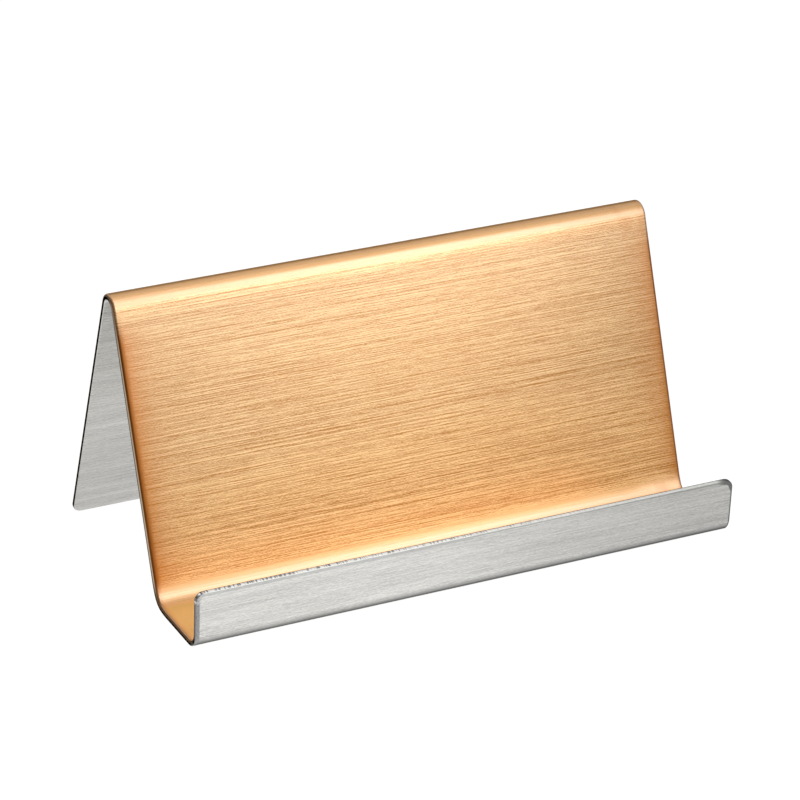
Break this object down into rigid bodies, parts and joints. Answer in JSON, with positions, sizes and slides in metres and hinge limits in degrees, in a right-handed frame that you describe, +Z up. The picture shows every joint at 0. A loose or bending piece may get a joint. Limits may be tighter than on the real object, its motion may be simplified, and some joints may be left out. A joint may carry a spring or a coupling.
{
  "type": "business card stand",
  "caption": "Desk stand for business cards, folded from a strip of brushed steel with a gold-coloured face into a rear leg, a leaning panel, a flat tray and a low front lip.",
  "frame": {"origin": "on the desk, under the middle of the stand's overall width and depth", "axes": "+X along the folds, the lip faces -Y, the rear leg stands towards +Y, +Z up from the desk"},
  "size_m": [0.095, 0.053, 0.0465],
  "materials": {
    "bare_steel": "hairline brushed along the folds",
    "gold_coat": "hairline brushed along the folds, gold coloured"
  },
  "bodies": {
    "root": {"folded_sheet": "bare_steel", "gold_coat": "gold_coat"}
  },
  "joints": []
}
